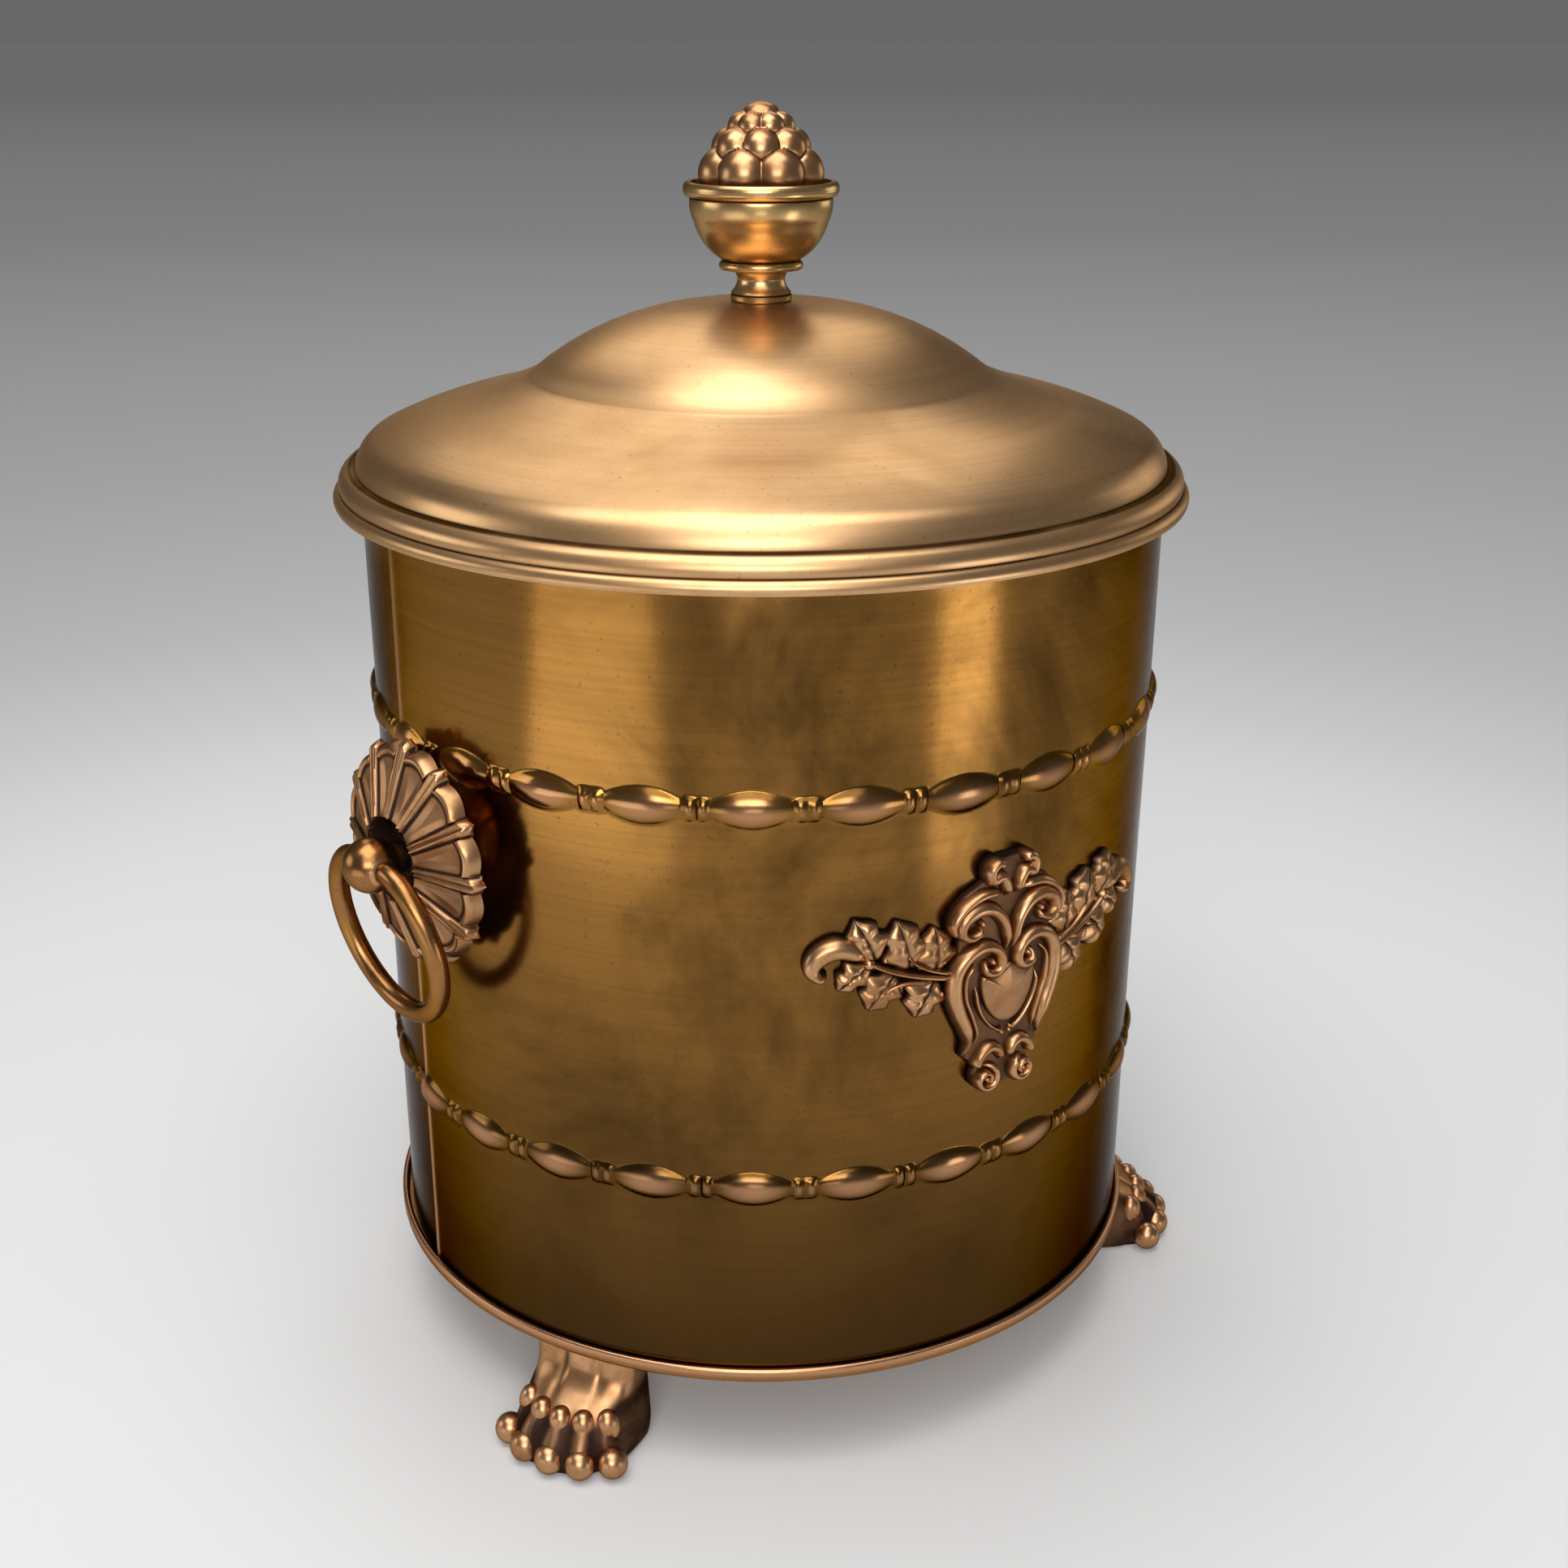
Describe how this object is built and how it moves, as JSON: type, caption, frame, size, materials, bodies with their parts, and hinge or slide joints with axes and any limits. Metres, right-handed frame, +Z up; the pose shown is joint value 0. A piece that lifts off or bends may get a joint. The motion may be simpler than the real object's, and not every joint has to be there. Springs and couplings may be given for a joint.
{
  "type": "coal bin",
  "caption": "Round lidded coal bin in aged brass: embossed sheet drum on lion paw feet, spun domed lid with bud finial, ring handles and a cast cartouche with blank shield.",
  "frame": {"origin": "on the floor under the drum's axis", "axes": "+Z up along the drum's axis, crest towards -Y, left handle towards -X"},
  "size_m": [0.3587, 0.3302, 0.4537],
  "materials": {
    "drum_brass": "aged, darkened sheet brass, embossed",
    "lid_brass": "spun brass, worn bright",
    "cast_brass": "cast brass, dark in the hollows",
    "handle_brass": "turned and bent brass rod, rubbed bright",
    "finial_brass": "turned and cast brass",
    "fixing_brass": "plain brass fixings",
    "rim_wire": "drawn iron wire"
  },
  "bodies": {
    "drum": {"front_wall_sheet": "drum_brass", "rear_wall_sheet": "drum_brass", "base_pan": "drum_brass", "front_left_foot": "cast_brass", "front_right_foot": "cast_brass", "rear_foot": "cast_brass", "crest_plaque": "cast_brass", "left_rosette": "cast_brass", "right_rosette": "cast_brass", "left_ball_post": "handle_brass", "right_ball_post": "handle_brass", "foot_washers": "fixing_brass", "foot_screws": "fixing_brass", "left_handle_washer": "fixing_brass", "right_handle_washer": "fixing_brass", "left_handle_nut": "fixing_brass", "right_handle_nut": "fixing_brass", "crest_rivets": "fixing_brass", "rim_wire": "rim_wire"},
    "lid": {"lid_shell": "lid_brass", "lid_collar": "lid_brass", "finial_cup": "finial_brass", "finial_cone": "finial_brass", "finial_washer": "fixing_brass", "finial_nut": "fixing_brass", "finial_rod": "fixing_brass"},
    "left_ring": {"left_ring": "handle_brass"},
    "right_ring": {"right_ring": "handle_brass"}
  },
  "joints": [
    {"name": "lid_lift", "type": "slide", "parent": "drum", "child": "lid", "axis": [0, 0, 1], "range_m": [0, 0.35]},
    {"name": "left_ring_swing", "type": "hinge", "parent": "drum", "child": "left_ring", "pos_m": [-0.17053, -0.02245, 0.2184], "axis": [-0.1305, 0.9914, 0], "range_deg": [-8, 206]},
    {"name": "right_ring_swing", "type": "hinge", "parent": "drum", "child": "right_ring", "pos_m": [0.16924, 0.02228, 0.2184], "axis": [0.1305, -0.9914, 0], "range_deg": [-8, 206]}
  ]
}
